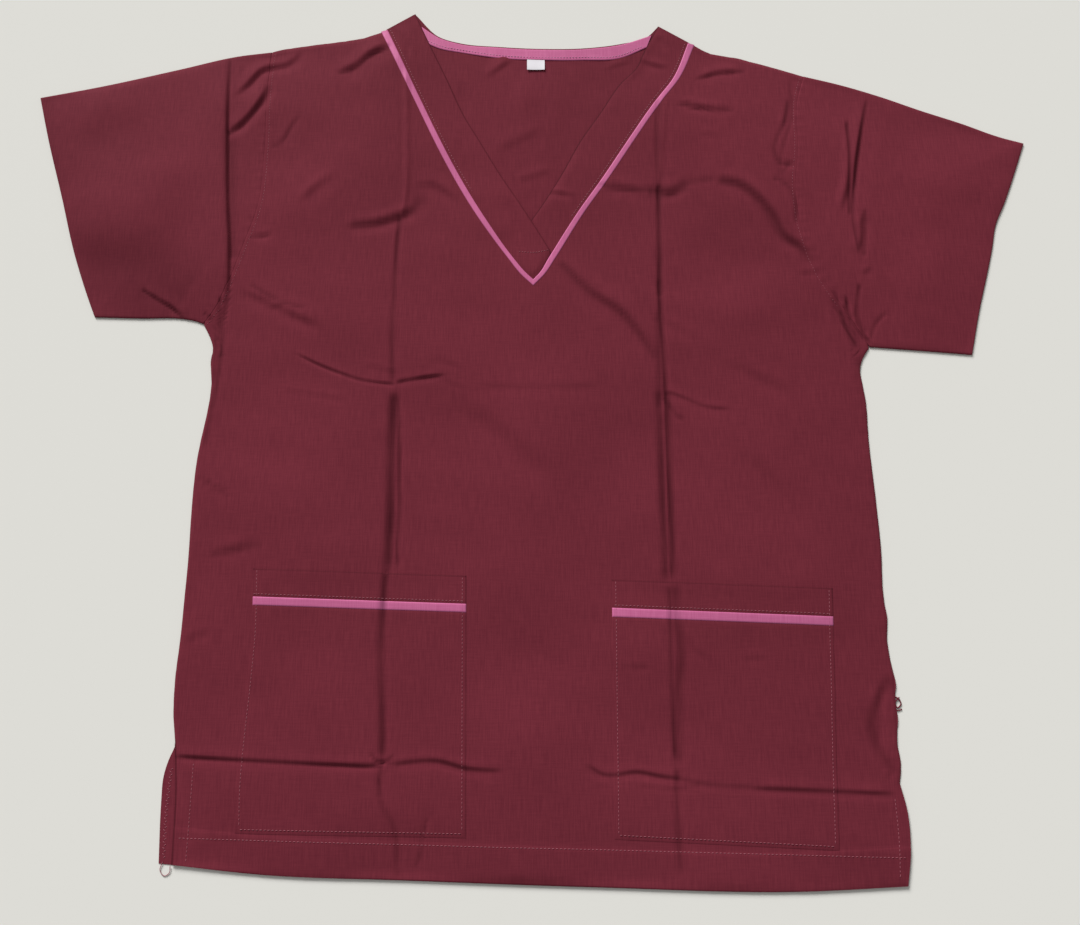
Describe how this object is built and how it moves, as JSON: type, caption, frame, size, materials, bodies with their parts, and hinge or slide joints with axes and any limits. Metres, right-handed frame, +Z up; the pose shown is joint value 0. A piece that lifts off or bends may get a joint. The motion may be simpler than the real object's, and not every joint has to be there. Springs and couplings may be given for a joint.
{
  "type": "scrub top",
  "caption": "Short-sleeved V-neck scrub top laid flat on its back, with contrast piping at the neck and on its patch pockets.",
  "frame": {"origin": "on the surface the top lies on, under the middle of its box", "axes": "+X across the top to the viewer's right, +Y from the hem to the neck, +Z up out of the chest"},
  "size_m": [0.8816, 0.7576, 0.0097],
  "materials": {
    "burgundy_cloth": "smooth poplin weave, faint sheen",
    "pink_cloth": "smooth poplin weave",
    "white_tape": "woven tape, satin"
  },
  "bodies": {
    "root": {"back_panel": "burgundy_cloth", "front_panel": "burgundy_cloth", "sleeve_left": "burgundy_cloth", "sleeve_right": "burgundy_cloth", "neckband_left": "burgundy_cloth", "neckband_right": "burgundy_cloth", "neck_piping_left": "pink_cloth", "neck_piping_right": "pink_cloth", "back_neck_facing": "pink_cloth", "size_tag": "white_tape", "pocket_left_band": "burgundy_cloth", "pocket_left_piping": "pink_cloth", "pocket_left_bag": "burgundy_cloth", "pocket_right_band": "burgundy_cloth", "pocket_right_piping": "pink_cloth", "pocket_right_bag": "burgundy_cloth"}
  },
  "joints": []
}
